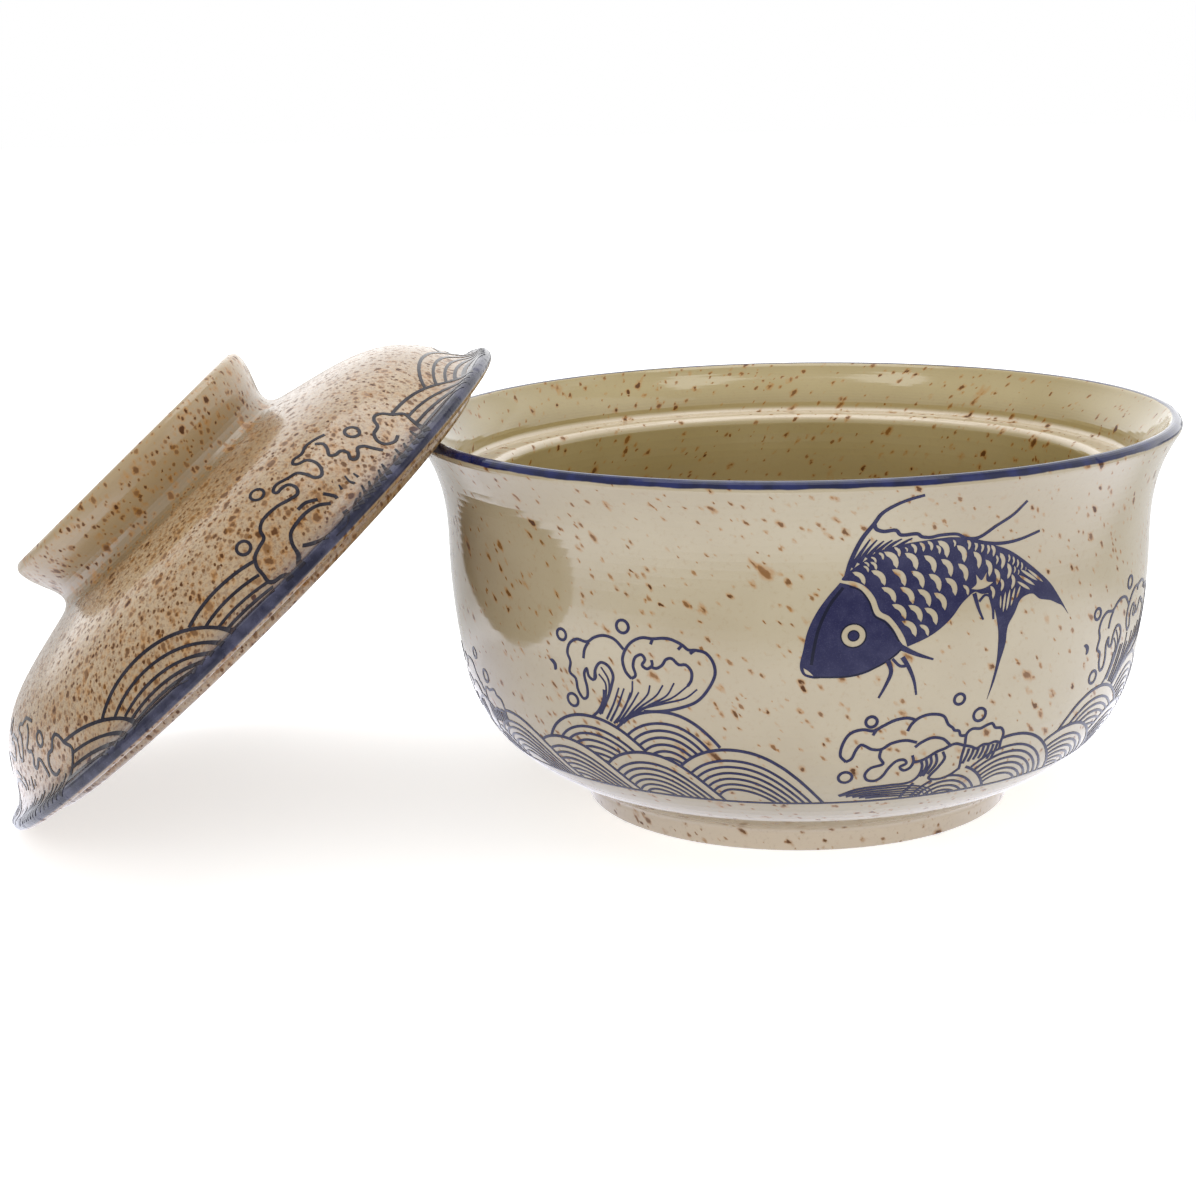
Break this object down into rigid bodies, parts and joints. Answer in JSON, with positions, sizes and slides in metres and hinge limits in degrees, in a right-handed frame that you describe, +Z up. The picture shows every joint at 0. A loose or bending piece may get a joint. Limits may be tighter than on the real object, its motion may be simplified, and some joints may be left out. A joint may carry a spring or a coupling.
{
  "type": "donburi bowl with lid",
  "caption": "Deep round glazed bowl with a flared lip, an inner ledge and a foot ring, and its domed lid with a hollow ring knob, set down leaning on the bowl's lip.",
  "frame": {"origin": "centre of the bowl's foot ring on the face that it stands on", "axes": "+Z up along the bowl's axis, -X towards the side on which the lid leans, +Y away from the viewer of the picture"},
  "size_m": [0.2644, 0.1731, 0.1041],
  "materials": {
    "glazed_bowl": "glossy transparent glaze over sandy stoneware with brown iron specks and a blue underglaze print",
    "glazed_lid": "glossy transparent glaze over sandy stoneware with brown iron specks, a blue print and a plain ring knob"
  },
  "bodies": {
    "bowl": {"bowl": "glazed_bowl"},
    "lid": {"lid": "glazed_lid"}
  },
  "joints": [
    {"name": "lid_lift", "type": "slide", "parent": "bowl", "child": "lid", "axis": [0, 0, 1], "range_m": [0, 0.11]}
  ]
}
